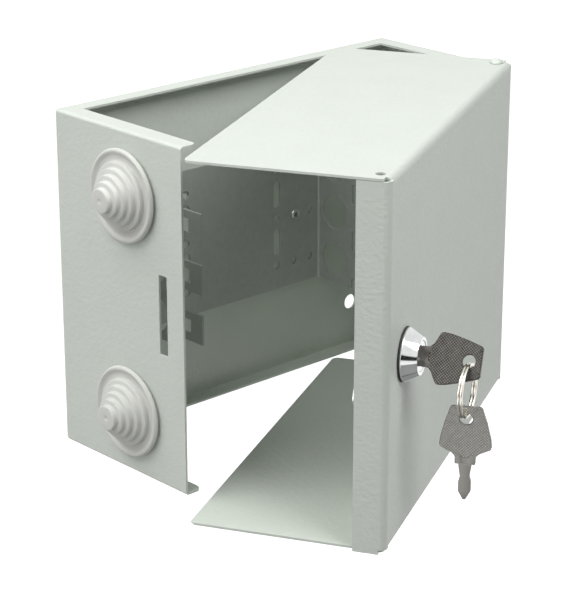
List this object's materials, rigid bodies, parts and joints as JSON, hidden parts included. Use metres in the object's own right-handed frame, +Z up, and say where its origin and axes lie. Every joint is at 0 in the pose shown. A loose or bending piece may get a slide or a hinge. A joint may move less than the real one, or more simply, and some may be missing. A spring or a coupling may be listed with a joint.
{
  "type": "wall-mounted distribution box",
  "caption": "Small folded-sheet wall box with a side-hinged, key-lockable cover, stepped cable grommets in its side and a tabbed chassis for modules inside.",
  "frame": {"origin": "centre of the back panel's outer face, on the wall", "axes": "+X to the right seen from the front, +Y into the wall, +Z up"},
  "size_m": [0.2063, 0.1917, 0.155],
  "materials": {
    "powder_coat": "satin, light grey powder coat",
    "galvanised": "galvanised, dull",
    "grommet_rubber": "matt, warm grey",
    "gasket_rubber": "matt black",
    "lock_chrome": "polished",
    "zinc_steel": "zinc plated",
    "key_dark": "nickel plated, worn",
    "key_light": "nickel plated",
    "ring_nickel": "polished nickel",
    "washer_plastic": "matt"
  },
  "bodies": {
    "base": {"base_pan": "powder_coat", "chassis": "galvanised", "chassis_eyelets": "zinc_steel", "upper_grommet": "grommet_rubber", "lower_grommet": "grommet_rubber", "top_hinge_rivet": "powder_coat", "bottom_hinge_rivet": "powder_coat", "top_hinge_washer": "washer_plastic", "bottom_hinge_washer": "washer_plastic"},
    "cover_group": {"cover": "powder_coat", "lock_gasket": "gasket_rubber", "lock_housing": "lock_chrome", "lock_washer": "zinc_steel", "lock_nut": "zinc_steel"},
    "lock_cylinder": {"lock_plug": "lock_chrome", "cam": "zinc_steel", "cam_washer": "zinc_steel", "cam_screw": "zinc_steel"},
    "key_group": {"key": "key_dark"},
    "ring_group": {"split_ring": "ring_nickel"},
    "spare_group": {"spare_key": "key_light"}
  },
  "joints": [
    {"name": "cover_hinge", "type": "hinge", "parent": "base", "child": "cover_group", "pos_m": [0.09, -0.0758, 0], "axis": [0, 0, 1], "range_deg": [-28.58, 61.4]},
    {"name": "lock_turn", "type": "hinge", "parent": "cover_group", "child": "lock_cylinder", "pos_m": [-0.05137, -0.15953, -0.0005], "axis": [-0.4784, 0.8782, 0], "range_deg": [-28, 62]},
    {"name": "key_slide", "type": "slide", "parent": "lock_cylinder", "child": "key_group", "axis": [0.4784, -0.8782, 0], "range_m": [0, 0.024]},
    {"name": "ring_swing", "type": "hinge", "parent": "key_group", "child": "ring_group", "pos_m": [-0.0409, -0.18298, -0.00217], "axis": [0.4427, -0.8967, 0], "range_deg": [-20, 20]},
    {"name": "spare_key_swing", "type": "hinge", "parent": "ring_group", "child": "spare_group", "pos_m": [-0.0409, -0.18298, -0.02161], "axis": [0.8967, 0.4427, 0], "range_deg": [-30, 30]}
  ]
}
